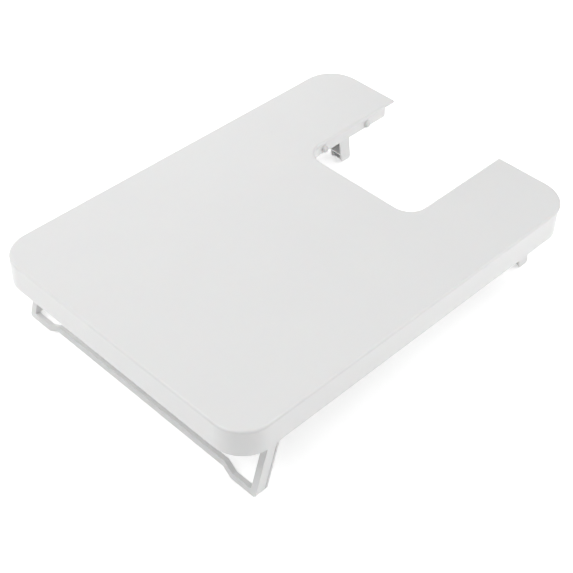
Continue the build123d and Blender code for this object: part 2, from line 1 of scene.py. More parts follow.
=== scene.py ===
# %% [markdown]
# # An extension table for a sewing machine
#
# The real object is a low tray, injection-moulded in white ABS. It is turned upside down by its maker to
# fit the folding legs, the pins they turn on, the spring catches and the rubber parts.
#
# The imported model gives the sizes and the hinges. This lesson puts the looks round it: the mouldings stay
# as they are and get their finish. The small fittings are modelled again with the detail they have in the
# hand, apart from the keepers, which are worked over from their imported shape.

import json
from math import cos, pi, radians, sin

import bmesh
import bpy
from mathutils import Euler, Matrix, Vector


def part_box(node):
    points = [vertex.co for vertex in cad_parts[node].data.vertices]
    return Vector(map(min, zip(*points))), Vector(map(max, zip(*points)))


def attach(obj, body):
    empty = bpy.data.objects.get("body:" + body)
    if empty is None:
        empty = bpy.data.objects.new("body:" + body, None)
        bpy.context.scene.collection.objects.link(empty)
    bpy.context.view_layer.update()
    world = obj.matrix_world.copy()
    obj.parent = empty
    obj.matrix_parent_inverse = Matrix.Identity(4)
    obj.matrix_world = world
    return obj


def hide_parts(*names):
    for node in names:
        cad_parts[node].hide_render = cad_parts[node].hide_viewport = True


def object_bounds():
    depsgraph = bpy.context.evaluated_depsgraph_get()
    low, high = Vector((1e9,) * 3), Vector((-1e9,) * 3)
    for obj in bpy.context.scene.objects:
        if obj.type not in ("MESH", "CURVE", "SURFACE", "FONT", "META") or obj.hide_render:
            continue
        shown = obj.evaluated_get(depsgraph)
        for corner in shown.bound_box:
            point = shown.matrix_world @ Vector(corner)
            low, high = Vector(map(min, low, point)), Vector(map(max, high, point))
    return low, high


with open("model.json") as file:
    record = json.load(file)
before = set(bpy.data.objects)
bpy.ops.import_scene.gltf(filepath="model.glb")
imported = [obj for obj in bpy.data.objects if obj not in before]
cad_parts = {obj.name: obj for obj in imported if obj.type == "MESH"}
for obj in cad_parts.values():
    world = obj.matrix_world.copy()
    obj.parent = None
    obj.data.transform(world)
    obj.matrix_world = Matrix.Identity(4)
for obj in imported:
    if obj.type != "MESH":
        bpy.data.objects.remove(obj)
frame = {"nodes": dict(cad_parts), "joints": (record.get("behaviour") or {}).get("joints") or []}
MM = 0.001
model_low, model_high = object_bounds()
pivots = {joint["name"]: Vector(joint["pos_m"]) for joint in frame["joints"]}
print("table is", [round(side / MM, 1) for side in model_high - model_low], "mm")
print("hinges at", {name: tuple(round(c / MM, 1) for c in place) for name, place in pivots.items()})

# %% [markdown]
# ## Shader maths as plain Python
#
# A finish is mostly arithmetic on patterns: this much grain, less where the edge is rubbed. Each Math node
# could be added and linked by hand, but the sum is then hard to read. Here a small class wraps one socket,
# so that `1 - rubbed * 0.3` adds the two nodes itself. Every other node comes from one method, `node`.

# %% A socket that can be added and multiplied
MIX_SHARE, MIX_FIRST, MIX_SECOND = 0, 6, 7    # the inputs of a Mix node that mixes colours
MIX_RESULT = 2                                # and its output


class Pattern:
    """One output socket in a finish's node tree."""

    def __init__(self, finish, socket):
        self.finish = finish
        self.socket = socket

    def maths(self, operation, first, second, clamp=False):
        settings = {"operation": operation, "use_clamp": clamp}
        return self.finish.node("Math", settings, {0: first, 1: second})

    def __add__(self, other):
        return self.maths("ADD", self, other)

    def __sub__(self, other):
        return self.maths("SUBTRACT", self, other)

    def __rsub__(self, other):
        return self.maths("SUBTRACT", other, self)

    def __mul__(self, other):
        return self.maths("MULTIPLY", self, other)

    __radd__ = __add__
    __rmul__ = __mul__

    def above(self, edge, softness):
        """0 below edge, rising to 1 over softness."""
        return self.maths("MULTIPLY", self - edge, 1 / softness, clamp=True)


class Finish:
    """A material while it is being built."""

    def __init__(self, name):
        self.material = bpy.data.materials.new(name)
        self.material.use_nodes = True
        self.tree = self.material.node_tree
        self.shader = self.tree.nodes["Principled BSDF"]
        self.place = self.node("TexCoord", {}, {}, "Object")

    def feed(self, socket, value):
        if isinstance(value, Pattern):
            self.tree.links.new(value.socket, socket)
        else:
            socket.default_value = value

    def node(self, kind, settings, inputs, output=0):
        """Adds one node: its settings first, then the values or patterns of its sockets."""
        made = self.tree.nodes.new("ShaderNode" + kind)
        for name, value in settings.items():
            setattr(made, name, value)
        for name, value in inputs.items():
            self.feed(made.inputs[name], value)
        return Pattern(self, made.outputs[output])

    def noise(self, size, detail=2.0, stretch=(1, 1, 1)):
        """Cloudy noise whose patches are about size metres across."""
        place = self.place
        if stretch != (1, 1, 1):
            place = self.node("Mapping", {}, {"Vector": place, "Scale": stretch})
        return self.node("TexNoise", {}, {"Vector": place, "Scale": 1 / size, "Detail": detail})

    def cells(self, size):
        """Rounded cells about size metres across: 0 in their middles."""
        return self.node("TexVoronoi", {}, {"Vector": self.place, "Scale": 1 / size})

    def between(self, share, first, second):
        """A colour from first to second."""
        return self.over(share, (*first, 1), second)

    def over(self, share, under, colour):
        """What is under, with an even colour laid over it as strongly as share says."""
        inputs = {MIX_SHARE: share, MIX_FIRST: under, MIX_SECOND: (*colour, 1)}
        return self.node("Mix", {"data_type": "RGBA"}, inputs, MIX_RESULT)

    def rounded(self, radius):
        """The surface's direction as if its sharp edges were rounded, and where that differs."""
        soft = self.node("Bevel", {"samples": 4}, {"Radius": radius})
        true = self.node("NewGeometry", {}, {}, "Normal")
        facing = self.node("VectorMath", {"operation": "DOT_PRODUCT"}, {0: soft, 1: true}, "Value")
        return soft, (1 - facing).above(0.01, 0.12)

    def bumps(self, height, depth, under):
        """height as a bump that is depth metres deep, laid over the direction under."""
        inputs = {"Height": height, "Distance": depth, "Normal": under}
        return self.node("Bump", {}, inputs)

    def set(self, **sockets):
        for name, value in sockets.items():
            self.feed(self.shader.inputs[name.replace("_", " ")], value)
        return self


print("shader helpers ready")

# %% [markdown]
# ## The white moulded plastic
#
# ABS from a steel mould is never one flat white. The melt cools unevenly, which leaves broad clouds of tone
# too faint to name. The tool's face is spark-eroded, which prints a fine grain that breaks up reflections.
# Handling polishes the edges, which get a painted highlight; corners get painted shade and a rougher surface.
#
# A picture of a surface could do this, but it would need unwrapping and would stretch on the curved skirt.
# Patterns in object space need neither, and they keep their scale in millimetres.

# %% Finish of the mouldings
FLECK_GREY = (0.60, 0.60, 0.58)
PAINTED_SHADE_GREY = (0.52, 0.51, 0.48)
EDGE_HIGHLIGHT_WHITE = (0.87, 0.87, 0.865)


def moulded_plastic(name, shade, gloss, grain_depth):
    """White ABS: shade is its colour, gloss the roughness of its smoothest parts."""
    finish = Finish(name)
    clouds = finish.noise(60 * MM, 3)
    mottle = finish.noise(6 * MM, 2)
    grain = finish.noise(0.55 * MM, 2)
    pits = finish.cells(0.8 * MM)
    specks = finish.cells(24 * MM).above(0.012, 0.006)
    soft, sharp_edges = finish.rounded(0.45 * MM)
    reach = {"Distance": 5 * MM}
    corner = finish.node("AmbientOcclusion", {"samples": 4, "only_local": True}, reach, "AO")
    dust_and_shade = (1 - corner).above(0.25, 0.9)

    tone = clouds * 0.5 + mottle * 0.3 + grain * 0.2
    cool = [channel * 0.985 for channel in shade]
    cool[2] += 0.003
    colour = finish.between(tone.above(0.35, 0.3), cool, shade)
    fleck = finish.over((1 - specks) * 0.5, colour, FLECK_GREY)
    # Painted shade: the colour darkens in the corners and hollows that ambient occlusion finds; they are also
    # rougher.
    corner_shaded = finish.over(dust_and_shade * 0.22, fleck, PAINTED_SHADE_GREY)
    # Painted highlight: sharp edges are lightened in colour; the same mask makes them smoother, as handling
    # polishes them.
    edge_highlighted = finish.over(sharp_edges * 0.45, corner_shaded, EDGE_HIGHLIGHT_WHITE)

    relief = grain * 0.6 + pits * 0.4
    height = relief + clouds * 1.5
    rough = gloss + clouds * 0.03 + grain * 0.07 + dust_and_shade * 0.2 - sharp_edges * 0.1
    finish.set(Base_Color=edge_highlighted, Roughness=rough, Normal=finish.bumps(height, grain_depth, soft))
    finish.set(Specular_IOR_Level=0.5, IOR=1.53, Subsurface_Weight=0.06, Subsurface_Scale=0.0015)
    return finish.material


finishes = {
    "top_plastic": moulded_plastic("top_plastic", [0.745, 0.746, 0.742], 0.27, 0.016 * MM),
    "leg_plastic": moulded_plastic("leg_plastic", [0.745, 0.747, 0.743], 0.30, 0.020 * MM),
}
print("mouldings:", sorted(finishes))

# %% [markdown]
# ## Steel, rubber and soft buffers
#
# The pins, keepers and screws are mild steel with a bright zinc plating, which frosts slightly as it sets.
# The catches are rolled spring strip, darker from its heat treatment and scratched along its length by the
# rollers. The pads are grey rubber, matt and slightly chalky. The buffers are a soft white elastomer that
# lets a little light in, so their edges glow instead of going grey.

# %% Finishes of the fittings
RUBBED_STEEL = (0.82, 0.82, 0.83)


def metal(name, bright, dark, rough, stretch):
    """Plated or rolled steel: frosting, fine scratches along one way, rubbed edges, darker stains in patches.
    """
    finish = Finish(name)
    frost = finish.noise(2.2 * MM, 4)
    scratches = finish.noise(0.25 * MM, 3, stretch)
    stains = finish.noise(9 * MM, 3).above(0.5, 0.25)
    soft, sharp_edges = finish.rounded(0.18 * MM)
    tone = frost * 0.6 + scratches * 0.4
    plated = finish.between(tone.above(0.3, 0.45), dark, bright)
    stained = finish.over(stains * 0.3, plated, dark)
    worn = finish.over(sharp_edges * 0.6, stained, RUBBED_STEEL)
    height = scratches + frost * 0.4
    finish.set(Base_Color=worn, Roughness=rough + scratches * 0.18 + stains * 0.08 - sharp_edges * 0.1)
    finish.set(Metallic=1.0 - stains * 0.06, Normal=finish.bumps(height, 0.01 * MM, soft))
    return finish.material


def rubber(name, pale, deep, rough, grain_depth, glow):
    """Moulded rubber: fine pores, a chalky bloom in patches, slightly worn edges."""
    finish = Finish(name)
    bloom = finish.noise(5 * MM, 3)
    pores = finish.cells(0.35 * MM)
    grain = finish.noise(0.3 * MM, 3)
    soft, sharp_edges = finish.rounded(0.25 * MM)
    base = finish.between(bloom.above(0.35, 0.35), deep, pale)
    worn = finish.over(sharp_edges * 0.3, base, pale)
    height = grain * 0.7 + pores * 0.5
    finish.set(Base_Color=worn, Roughness=rough + bloom * 0.1 + grain * 0.06)
    finish.set(Normal=finish.bumps(height, grain_depth, soft))
    finish.set(Subsurface_Weight=glow, Subsurface_Scale=0.0012)
    return finish.material


ALONG_X = (0.08, 1, 1)
ALONG_Y = (1, 0.1, 1)
NO_GRAIN = (1, 1, 1)
PAD_GREY = ([0.50, 0.50, 0.50], [0.43, 0.43, 0.43])        # pale, deep
BUFFER_WHITE = ([0.70, 0.70, 0.69], [0.62, 0.62, 0.61])    # pale, deep
finishes["pin_steel"] = metal("pin_steel", [0.66, 0.67, 0.68], [0.47, 0.48, 0.49], 0.22, ALONG_Y)
finishes["screw_steel"] = metal("screw_steel", [0.64, 0.65, 0.68], [0.44, 0.45, 0.49], 0.20, NO_GRAIN)
finishes["spring_steel"] = metal("spring_steel", [0.50, 0.50, 0.50], [0.30, 0.29, 0.28], 0.24, ALONG_X)
finishes["pad_rubber"] = rubber("pad_rubber", *PAD_GREY, 0.68, 0.03 * MM, 0.0)
finishes["bumper_rubber"] = rubber("bumper_rubber", *BUFFER_WHITE, 0.42, 0.012 * MM, 0.15)
print("finishes:", sorted(finishes))

# %% [markdown]
# ## The mouldings keep their shape
#
# The top and the three legs already carry their ribs, lugs and rounded corners, so they only get their
# finish, and their meshes are left alone.

# %% Finish the carried-over mouldings
moulding_slots = {
    "table_top": "top_plastic",
    "wide_leg": "leg_plastic",
    "small_leg_front": "leg_plastic",
    "small_leg_back": "leg_plastic",
}
for node, slot in moulding_slots.items():
    moulding = frame["nodes"][node]
    moulding.data.materials.clear()
    moulding.data.materials.append(finishes[slot])
    print(node, "wears", slot)

# %% [markdown]
# ## Working by hand, in code
#
# The next pieces are modelled as at the bench: start from a primitive, go into edit mode, pick faces by
# where they are, push and pull them. These helpers keep that short. `settle` ends every piece the same way:
# its place goes into its mesh, it gets its finish, and it is told which part of the table carries it.

# %% Bench helpers
def clear_bench():
    bpy.ops.object.select_all(action="DESELECT")
    bpy.context.view_layer.objects.active = None


def only(piece):
    clear_bench()
    piece.select_set(True)
    bpy.context.view_layer.objects.active = piece


def pick(kind, wanted):
    """In edit mode, selects the verts, edges or faces for which wanted(element) holds."""
    bpy.ops.mesh.select_mode(type={"verts": "VERT", "edges": "EDGE", "faces": "FACE"}[kind])
    bpy.ops.mesh.select_all(action="DESELECT")
    mesh = bmesh.from_edit_mesh(bpy.context.edit_object.data)
    for element in getattr(mesh, kind):
        element.select_set(bool(wanted(element)))
    mesh.select_flush_mode()
    bmesh.update_edit_mesh(bpy.context.edit_object.data)


def finish_modifier(piece, kind, **settings):
    only(piece)
    modifier = piece.modifiers.new(kind.title(), kind)
    for name, value in settings.items():
        setattr(modifier, name, value)
    bpy.ops.object.modifier_apply(modifier=modifier.name)


def outward(piece):
    """Merges doubles and turns every face outwards."""
    only(piece)
    bpy.ops.object.mode_set(mode="EDIT")
    bpy.ops.mesh.select_all(action="SELECT")
    bpy.ops.mesh.remove_doubles(threshold=0.002 * MM)
    bpy.ops.mesh.normals_make_consistent(inside=False)
    bpy.ops.object.mode_set(mode="OBJECT")


def settle(piece, name, slot, body, *nodes):
    """Place into the mesh, finish, smooth shading and what the piece rides on; the imported parts it stands
    for are hidden.
    """
    only(piece)
    bpy.ops.object.transform_apply(location=True, rotation=True, scale=True)
    bpy.ops.object.shade_smooth_by_angle(angle=radians(32))
    piece.name = name
    piece.data.name = name
    piece.data.materials.clear()
    piece.data.materials.append(finishes[slot])
    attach(piece, body)
    if nodes:
        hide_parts(*nodes)
    return piece


def turned(foot, up, rings, sides=40):
    """A round piece: a disc at its foot, then drawn out and resized ring by ring (height, radius in mm)."""
    clear_bench()
    up = Vector(up)
    foot = Vector(foot)
    height, radius = rings[0]
    bpy.ops.mesh.primitive_circle_add(
        vertices=sides, radius=radius * MM, fill_type="NGON",
        location=foot + up * height * MM, rotation=up.to_track_quat("Z", "Y").to_euler(),
    )
    piece = bpy.context.object
    bpy.ops.object.mode_set(mode="EDIT")
    bpy.ops.mesh.select_all(action="SELECT")
    for next_height, next_radius in rings[1:]:
        step = up * (next_height - height) * MM
        bpy.ops.mesh.extrude_region_move(TRANSFORM_OT_translate={"value": step})
        share = next_radius / radius
        middle = foot + up * next_height * MM
        bpy.ops.transform.resize(value=(share, share, share), center_override=middle)
        height, radius = next_height, next_radius
    bpy.ops.object.mode_set(mode="OBJECT")
    outward(piece)
    return piece


def copied(piece, turn):
    """A copy with its own mesh, moved by the matrix turn."""
    twin = piece.copy()
    twin.data = piece.data.copy()
    bpy.context.scene.collection.objects.link(twin)
    twin.matrix_world = turn @ piece.matrix_world
    return twin


def joined(pieces):
    clear_bench()
    for piece in pieces:
        piece.select_set(True)
    bpy.context.view_layer.objects.active = pieces[0]
    bpy.ops.object.join()
    return pieces[0]


TO_BACK = Matrix.Diagonal((1, -1, 1, 1))


def mirrored(piece):
    """The piece for the back half of the table. A mirror turns faces inside out, so they are turned again."""
    only(piece)
    bpy.ops.object.transform_apply(location=True, rotation=True, scale=True)
    twin = copied(piece, TO_BACK)
    only(twin)
    bpy.ops.object.transform_apply(location=True, rotation=True, scale=True)
    outward(twin)
    return twin


print("bench ready")

# %% [markdown]
# ## Buffers in the notch
#
# Two soft buttons stand out of each side wall of the notch and keep the table from knocking the machine.
# Each is moulded as one mushroom: a domed head with a rounded rim at the wall, a waist that sits in the
# hole and a barb behind it. All of it is round, so it is drawn out of a disc, ring by ring.

# %% Make the buffers
WAIST_RADIUS = 2.0
RIM_HEIGHT = 0.8
DOME_STEPS = 9


def buffer_rings(head_radius, proud, wall, barb):
    """Rings from the barb's tip to the dimple in the dome, the wall's outer face at height 0, in mm."""
    shoulder = head_radius - 0.3
    rings = [(-wall - barb, 1.5), (-wall - barb + 0.5, 2.1), (-wall - 0.35, 2.7), (-wall, 2.62)]
    rings += [(-wall, WAIST_RADIUS), (0, WAIST_RADIUS)]
    rings += [(0, head_radius - 0.15), (0.15, head_radius), (0.55, head_radius)]
    rings += [(0.7, head_radius - 0.12), (RIM_HEIGHT, shoulder)]
    for step in range(1, DOME_STEPS):
        angle = step / DOME_STEPS * pi / 2
        height = RIM_HEIGHT + (proud - RIM_HEIGHT) * sin(angle)
        rings.append((height, shoulder * (0.35 + 0.65 * cos(angle))))
    rings += [(proud, shoulder * 0.3), (proud - 0.12, shoulder * 0.22), (proud - 0.16, 0.1)]
    return rings


BUFFER_HEAD = 3.5
BUFFER_PROUD = 3.0
WALL = 2.5
BARB = 1.6
for place in ("inner", "outer"):
    low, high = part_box(f"notch_bumper_{place}_front")
    face = Vector(((low.x + high.x) / 2, high.y - BUFFER_PROUD * MM, (low.z + high.z) / 2))
    button = turned(face, (0, 1, 0), buffer_rings(BUFFER_HEAD, BUFFER_PROUD, WALL, BARB))
    twin = mirrored(button)
    settle(button, f"buffer_{place}_front", "bumper_rubber", "table", f"notch_bumper_{place}_front")
    settle(twin, f"buffer_{place}_back", "bumper_rubber", "table", f"notch_bumper_{place}_back")
    print("buffers", place, "at x", round(face.x / MM, 1), "mm, faces", len(button.data.polygons))

# %% [markdown]
# ## Hinge pins
#
# A leg turns on a headed steel pin that is pushed in from the middle of the table. It is turned on a lathe:
# a lead-in at its end so that it finds the blind hole, a plain shank, a relief under the head and a head
# with a broken edge. A cylinder would do for the fit, but not for the way its edges catch the light.

# %% Make the pins
PIN_RADIUS = 2.0
PIN_RELIEF = 1.85
PIN_HEAD_RADIUS = 3.4
PIN_HEAD_HEIGHT = 1.2


def pin_rings(length):
    """Rings from the lead-in to the dished top of the head, in mm."""
    under = length - PIN_HEAD_HEIGHT
    lead_in = [(0, 1.3), (0.15, 1.5), (0.9, PIN_RADIUS - 0.02), (1.1, PIN_RADIUS)]
    relief = [(under - 0.5, PIN_RADIUS), (under - 0.45, PIN_RELIEF)]
    relief += [(under - 0.05, PIN_RELIEF), (under, 1.9)]
    head = [(under, PIN_HEAD_RADIUS - 0.2), (under + 0.2, PIN_HEAD_RADIUS)]
    head += [(length - 0.35, PIN_HEAD_RADIUS)]
    head += [(length - 0.1, PIN_HEAD_RADIUS - 0.12), (length, PIN_HEAD_RADIUS - 0.4)]
    dish = [(length, 1.4), (length - 0.12, 1.1), (length - 0.12, 0.1)]
    return lead_in + relief + head + dish


SIDES = {"front": 1, "back": -1}
hinge_joints = {"wide_leg": "wide_leg_fold", "small_leg": "front_leg_fold"}
for leg in hinge_joints:
    low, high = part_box(f"{leg}_pin_front")
    length = (high.y - low.y) / MM
    middle_x, middle_z = (low.x + high.x) / 2, (low.z + high.z) / 2
    pin = turned((middle_x, low.y, middle_z), (0, 1, 0), pin_rings(length), 48)
    twin = mirrored(pin)
    settle(pin, f"{leg}_hinge_pin_front", "pin_steel", "table", f"{leg}_pin_front")
    settle(twin, f"{leg}_hinge_pin_back", "pin_steel", "table", f"{leg}_pin_back")
    print(leg, "pin is", round(length, 1), "mm long")

# %% [markdown]
# ## Keepers
#
# A keeper is a stamped steel tab, screwed over the head of the pin. The punch leaves the side it enters
# slightly rounded and a burr on the other, which is then tumbled off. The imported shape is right, so a copy
# of it is merged into one skin, its flat faces are cleared of triangles, and its rim is broken with a fine
# bevel.

# %% Make the keepers
def broken_edges(node, width):
    """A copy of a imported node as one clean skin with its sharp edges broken."""
    source = frame["nodes"][node]
    made = bpy.data.objects.new("blank", source.data.copy())
    bpy.context.scene.collection.objects.link(made)
    outward(made)
    bpy.ops.object.mode_set(mode="EDIT")
    bpy.ops.mesh.select_all(action="SELECT")
    bpy.ops.mesh.dissolve_limited(angle_limit=radians(1))
    bpy.ops.object.mode_set(mode="OBJECT")
    finish_modifier(made, "BEVEL", width=width, segments=2, limit_method="ANGLE", angle_limit=radians(40))
    return made


for leg in hinge_joints:
    for side in SIDES:
        tab = broken_edges(f"{leg}_keeper_{side}", 0.15 * MM)
        settle(tab, f"{leg}_pin_tab_{side}", "pin_steel", "table", f"{leg}_keeper_{side}")
    print(leg, "keepers, faces each", len(tab.data.polygons))

# %% [markdown]
# ## Spring catches
#
# Each leg is held open or folded by a strip of spring steel that presses on a flat of its hub. The strip is
# cut from a coil and bent over a round former, so its bends are soft, and its corners are rounded off. It
# is drawn out point by point along its bends, pulled to its width, and then given its thickness.

# %% Make the catches
STRIP = 0.6
STRIP_WIDTH = 4.8
SEAT_LENGTH = 9.0        # the flat part under the screw
HUB_REACH = 2.2          # how far it lies flat over the hub, each side of the hinge
TAIL_LIFT = 1.6
BEND_REACH = 1.2
BEND_STEPS = 4
CORNER_ROUND = 1.0


def soft_bends(corners, reach):
    """The points of a line through corners, each corner replaced by a short curve."""
    line = [corners[0]]
    for before, corner, after in zip(corners, corners[1:], corners[2:]):
        start = corner + (before - corner).normalized() * reach
        end = corner + (after - corner).normalized() * reach
        for step in range(BEND_STEPS + 1):
            share = step / BEND_STEPS
            line.append(start.lerp(corner, share).lerp(corner.lerp(end, share), share))
    return line + [corners[-1]]


def catch(node, pivot, fold):
    """The strip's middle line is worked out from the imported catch's box and the hinge it serves."""
    low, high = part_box(node)
    half = STRIP / 2 * MM
    seat = high.z - half
    over_hub = low.z + half
    far = high.x if fold > 0 else low.x
    tail = low.x if fold > 0 else high.x
    y = (low.y + high.y) / 2 - STRIP_WIDTH / 2 * MM
    corners = [
        Vector((far, y, seat)), Vector((far - fold * SEAT_LENGTH * MM, y, seat)),
        Vector((pivot.x + fold * HUB_REACH * MM, y, over_hub)),
        Vector((pivot.x - fold * HUB_REACH * MM, y, over_hub)),
        Vector((tail, y, over_hub + TAIL_LIFT * MM)),
    ]
    points = soft_bends(corners, BEND_REACH * MM)
    clear_bench()
    bpy.ops.mesh.primitive_plane_add(size=1, location=(0, 0, 0))
    strip = bpy.context.object
    bpy.ops.object.mode_set(mode="EDIT")
    bpy.ops.mesh.select_mode(type="VERT")
    bpy.ops.mesh.select_all(action="SELECT")
    bpy.ops.mesh.merge(type="CENTER")
    bpy.ops.transform.translate(value=points[0])
    for before, point in zip(points, points[1:]):
        bpy.ops.mesh.extrude_region_move(TRANSFORM_OT_translate={"value": point - before})
    bpy.ops.mesh.select_all(action="SELECT")
    bpy.ops.mesh.extrude_region_move(TRANSFORM_OT_translate={"value": (0, STRIP_WIDTH * MM, 0)})
    bpy.ops.object.mode_set(mode="OBJECT")
    outward(strip)
    finish_modifier(strip, "SOLIDIFY", thickness=STRIP * MM, offset=0, use_even_offset=True)
    only(strip)
    bpy.ops.object.mode_set(mode="EDIT")
    ends = (low.x + 0.2 * MM, high.x - 0.2 * MM)

    def end_corner(edge):
        first, second = (vert.co for vert in edge.verts)
        at_end = max(first.x, second.x) < ends[0] or min(first.x, second.x) > ends[1]
        return at_end and abs(first.y - second.y) < 1e-6 and abs(first.z - second.z) > 0.3 * MM

    pick("edges", end_corner)
    bpy.ops.mesh.bevel(offset=CORNER_ROUND * MM, segments=4, affect="EDGES")
    bpy.ops.object.mode_set(mode="OBJECT")
    outward(strip)
    sharp = radians(50)
    finish_modifier(strip, "BEVEL", width=0.07 * MM, segments=2, limit_method="ANGLE", angle_limit=sharp)
    return strip


folds = {"wide_leg": 1, "small_leg": -1}
for leg, joint in hinge_joints.items():
    strip = catch(f"{leg}_catch_front", pivots[joint], folds[leg])
    twin = mirrored(strip)
    settle(strip, f"{leg}_spring_front", "spring_steel", "table", f"{leg}_catch_front")
    settle(twin, f"{leg}_spring_back", "spring_steel", "table", f"{leg}_catch_back")
    print(leg, "catch, faces", len(strip.data.polygons))

# %% [markdown]
# ## Screws
#
# Eight self-tapping screws hold the keepers and the catches. One is modelled and copied: a pointed shank, a
# flange, a domed head. Its thread is a row of rings and not a spiral, which nobody can tell at this size.
# The cross in the head is cut by a boolean with tapered blades, because a recess with sloping sides is slow
# to draw by hand.

# %% Model one screw
SCREW_LENGTH = 5.0
THREAD_ROOT = 0.88
THREAD_CREST = 1.15
THREAD_PITCH = 0.62
FLANGE_RADIUS = 2.4
FLANGE_HEIGHT = 0.5
HEAD_RADIUS = 2.28
HEAD_STEPS = 8


def screw_rings():
    """Rings from the point to the top of the head, the seat under the flange at height 0, in mm."""
    rings = [(-SCREW_LENGTH, 0.12), (-SCREW_LENGTH + 0.9, 0.8)]
    height = -SCREW_LENGTH + 1.0
    while height < -0.6:
        rings += [(height, THREAD_ROOT), (height + 0.18, THREAD_CREST)]
        rings += [(height + 0.26, THREAD_CREST), (height + 0.44, THREAD_ROOT)]
        height += THREAD_PITCH
    rings += [(-0.15, 1.0), (0, 1.05), (0, 2.3), (0.1, FLANGE_RADIUS), (0.4, FLANGE_RADIUS)]
    rings.append((FLANGE_HEIGHT, HEAD_RADIUS))
    for step in range(1, HEAD_STEPS):
        angle = step / HEAD_STEPS * pi / 2
        rings.append((FLANGE_HEIGHT + 1.0 * sin(angle), HEAD_RADIUS * (0.2 + 0.8 * cos(angle))))
    rings.append((1.5, 0.3))
    return rings


def cross_punch():
    """Two crossed blades that narrow as they go down into the head."""
    blades = []
    for turn in (0, pi / 2):
        clear_bench()
        bpy.ops.mesh.primitive_cube_add(size=1, location=(0, 0, 1.25 * MM), rotation=(0, 0, turn))
        blade = bpy.context.object
        blade.scale = (2.7 * MM, 0.55 * MM, 1.1 * MM)
        only(blade)
        bpy.ops.object.transform_apply(location=True, rotation=True, scale=True)
        bpy.ops.object.mode_set(mode="EDIT")
        pick("faces", lambda face: face.normal.z < -0.9)
        bpy.ops.transform.resize(value=(0.5, 0.5, 1), center_override=(0, 0, 0.7 * MM))
        bpy.ops.object.mode_set(mode="OBJECT")
        blades.append(blade)
    return blades


screw = turned((0, 0, 0), (0, 0, 1), screw_rings(), 32)
for blade in cross_punch():
    finish_modifier(screw, "BOOLEAN", object=blade, operation="DIFFERENCE", solver="EXACT")
    bpy.data.objects.remove(blade)
outward(screw)
print("screw has", len(screw.data.polygons), "faces")

# %% [markdown]
# ## Where the screws go
#
# A keeper's screw sits in the middle of the keeper's round end and is driven in line with the hinge. A
# catch's screw is driven up into the top, through the middle of the strip's flat part. Nobody lines up the
# crosses of screws, so each is turned on by the same odd angle from the one before.

# %% Drive the eight screws
TAB_RADIUS = 4.0
FIRST_TURN = 0.4
NEXT_TURN = 0.9


def driven(place, up, turn):
    """Where a screw goes: its head's seat, the way its head faces, and how far it happened to be turned."""
    facing = Vector(up).to_track_quat("Z", "Y").to_matrix().to_4x4()
    return Matrix.Translation(place) @ facing @ Matrix.Rotation(turn, 4, "Z")


screws = []
for leg, fold in folds.items():
    for side, inwards in SIDES.items():
        low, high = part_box(f"{leg}_keeper_{side}")
        x = high.x - TAB_RADIUS * MM if fold > 0 else low.x + TAB_RADIUS * MM
        y = high.y if inwards > 0 else low.y
        seat = Vector((x, y, high.z - TAB_RADIUS * MM))
        screws.append(copied(screw, driven(seat, (0, inwards, 0), FIRST_TURN + NEXT_TURN * len(screws))))
        low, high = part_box(f"{leg}_catch_{side}")
        x = high.x - SEAT_LENGTH / 2 * MM if fold > 0 else low.x + SEAT_LENGTH / 2 * MM
        seat = Vector((x, (low.y + high.y) / 2, high.z - STRIP * MM))
        screws.append(copied(screw, driven(seat, (0, 0, -1), FIRST_TURN + NEXT_TURN * len(screws))))
bpy.data.objects.remove(screw)
for driven_screw in screws:
    only(driven_screw)
    bpy.ops.object.transform_apply(location=True, rotation=True, scale=True)
settle(joined(screws), "hinge_screw_set", "screw_steel", "table", "hinge_screws")
print("screws driven:", len(screws))

# %% [markdown]
# ## Foot pads
#
# Each foot stands on a small rubber pad, glued into a shallow pocket. Grooves across it let it grip on a
# polished desk. The block is cut into bands by bisecting, and every second band is pressed in on the side
# that meets the desk, which is quicker than cutting each groove and leaves clean walls.

# %% Make the pads
GROOVE = 0.18


def pad(node, bands):
    low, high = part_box(node)
    size = high - low
    clear_bench()
    bpy.ops.mesh.primitive_cube_add(size=1, location=(low + high) / 2)
    block = bpy.context.object
    block.scale = size
    bpy.ops.object.transform_apply(location=True, rotation=True, scale=True)
    bpy.ops.object.mode_set(mode="EDIT")
    for band in range(1, bands):
        y = low.y + size.y * band / bands
        bpy.ops.mesh.select_all(action="SELECT")
        bpy.ops.mesh.bisect(plane_co=(0, y, 0), plane_no=(0, 1, 0))

    def pressed(face):
        middle = face.calc_center_median()
        index = int((middle.y - low.y) / size.y * bands)
        return face.normal.z < -0.9 and index % 2 == 1

    pick("faces", pressed)
    bpy.ops.mesh.extrude_region_move(TRANSFORM_OT_translate={"value": (0, 0, GROOVE * MM)})
    bpy.ops.object.mode_set(mode="OBJECT")
    outward(block)
    sharp = radians(40)
    finish_modifier(block, "BEVEL", width=0.06 * MM, segments=2, limit_method="ANGLE", angle_limit=sharp)
    return block


pad_bodies = {
    "wide_leg_pad_front": ("wide_leg_assembly", 17),
    "wide_leg_pad_back": ("wide_leg_assembly", 17),
    "small_leg_pad_front": ("front_leg_assembly", 9),
    "small_leg_pad_back": ("back_leg_assembly", 9),
}
for node, (body, bands) in pad_bodies.items():
    block = pad(node, bands)
    settle(block, node.replace("_pad_", "_grip_"), "pad_rubber", body, node)
print("pads:", len(pad_bodies))

# %% [markdown]
# ## What the mould leaves underneath
#
# Turn the table over and the tool shows. Steel pins pushed the moulding out while it was warm, and each
# left a shallow round mark. The plastic came in through one gate, whose stub was snapped off. Nothing on
# the good side tells of them, but an underside without them looks drawn, not made. The marks are turned
# like the pins and stand in the cells between the ribs, clear of the notch and of the hinges.

